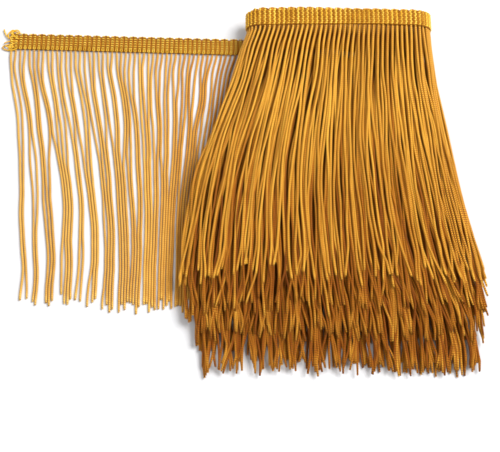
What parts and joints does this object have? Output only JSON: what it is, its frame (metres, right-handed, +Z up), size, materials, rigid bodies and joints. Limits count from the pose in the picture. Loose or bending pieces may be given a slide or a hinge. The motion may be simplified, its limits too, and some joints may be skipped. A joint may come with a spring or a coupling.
{
  "type": "chainette fringe trim",
  "caption": "Gold chainette fringe trim: a braided heading band with long knitted cords, wound into a flat roll with one loose end drawn out beside it.",
  "frame": {"origin": "middle of the box at its underside, on the table that the trim lies on", "axes": "+X along the heading from the loose end to the roll, +Y from the cord ends to the heading, +Z up"},
  "size_m": [0.3356, 0.2666, 0.0266],
  "materials": {
    "braid": "braided satin yarn with raised ribs",
    "cord": "knitted satin cord, soft sheen"
  },
  "bodies": {
    "root": {"heading": "braid", "fringe_tail": "cord", "fringe_turn_1": "cord", "fringe_turn_2": "cord", "fringe_turn_3": "cord", "fringe_turn_4": "cord", "fringe_turn_5": "cord"}
  },
  "joints": []
}
